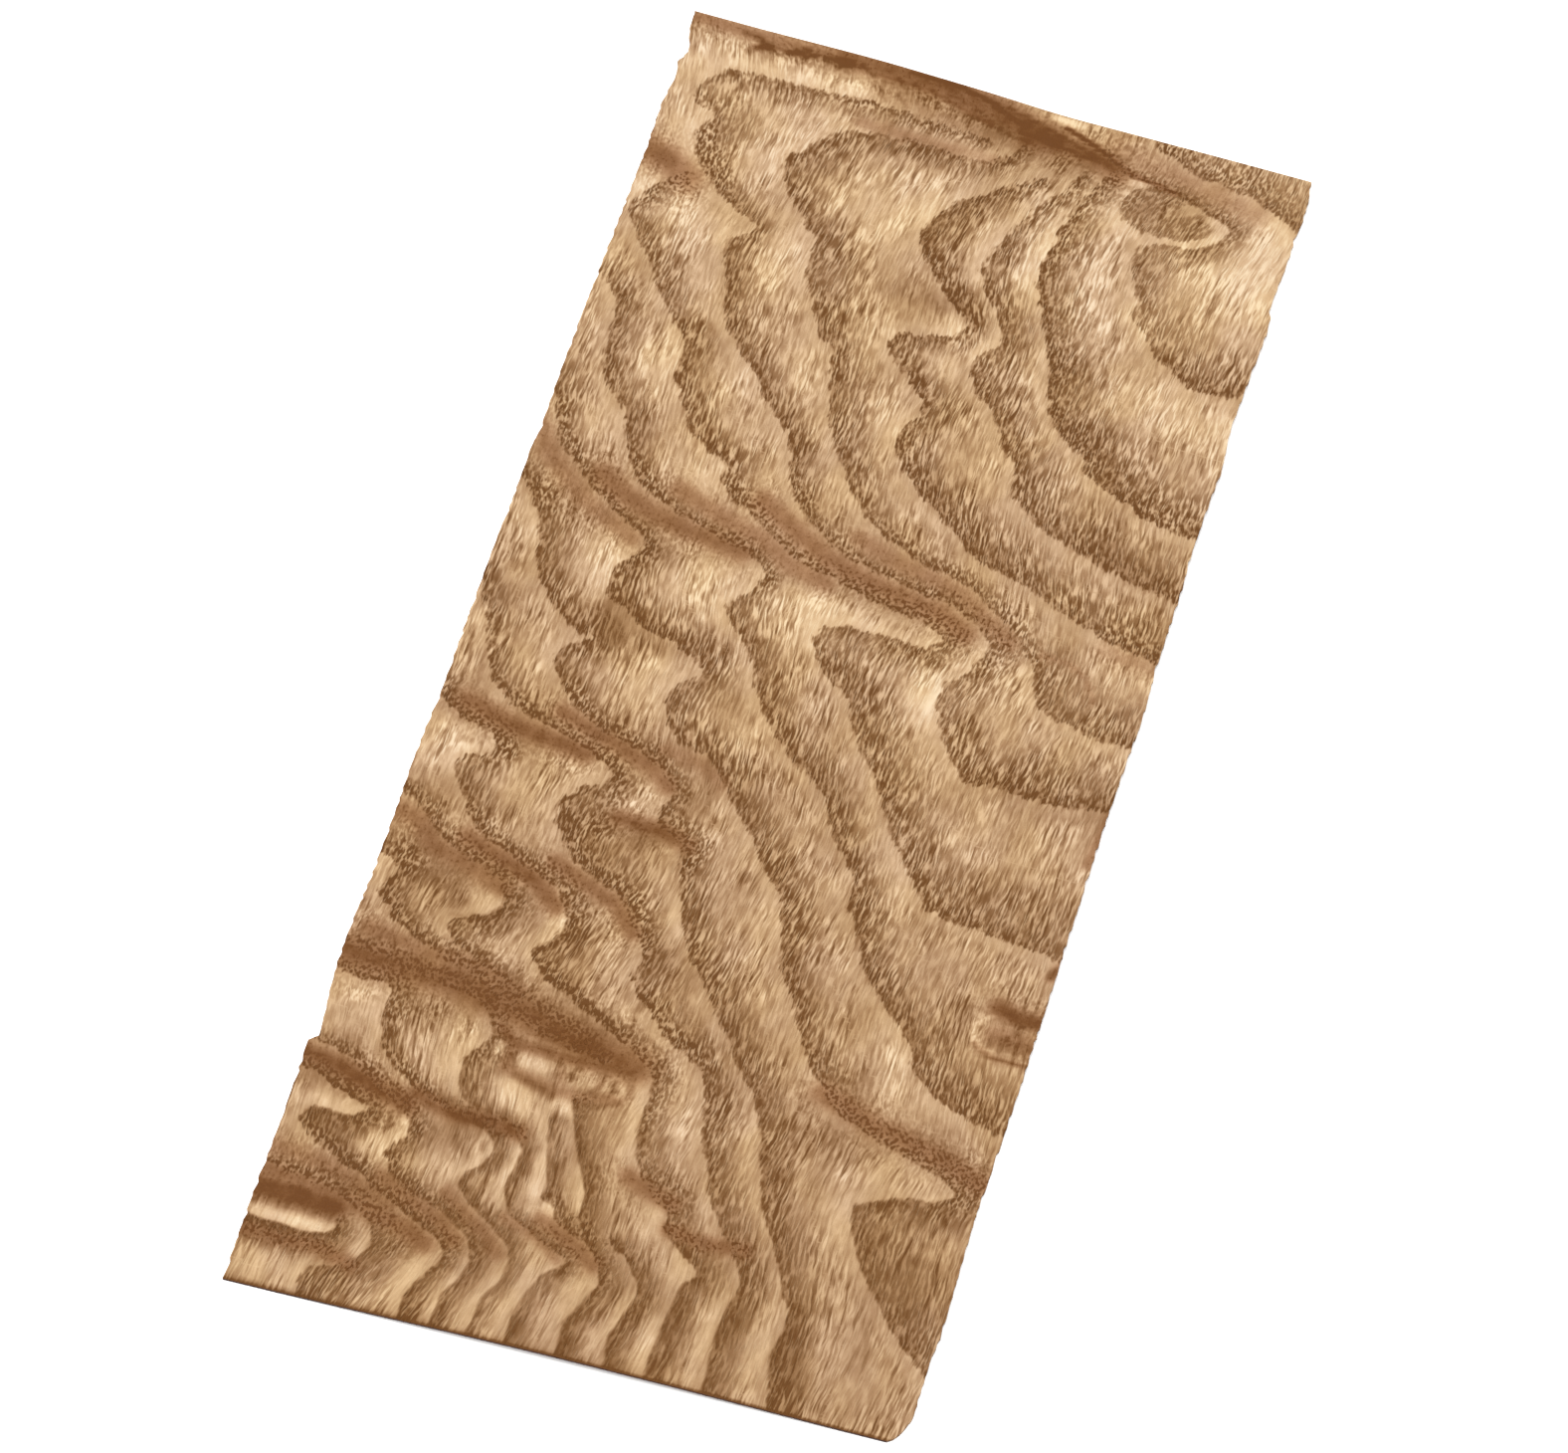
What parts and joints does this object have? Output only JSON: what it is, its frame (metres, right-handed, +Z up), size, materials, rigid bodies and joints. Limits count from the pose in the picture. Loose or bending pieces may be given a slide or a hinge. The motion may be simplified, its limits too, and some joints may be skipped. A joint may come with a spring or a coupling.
{
  "type": "wood veneer sheet",
  "caption": "Thin flat leaf of figured ring-porous wood veneer, slightly cockled, with straight cut ends and ragged split long edges, for facing or inlay work.",
  "frame": {"origin": "centre of the leaf's bounding box in plan, at the level that its lowest points rest on", "axes": "+Y along the leaf's length and its fibres, +X across its width, +Z up out of its show face"},
  "size_m": [0.1359, 0.305, 0.0026],
  "materials": {
    "veneer": "raw, knife-cut, matt"
  },
  "bodies": {
    "root": {"veneer_sheet": "veneer"}
  },
  "joints": []
}
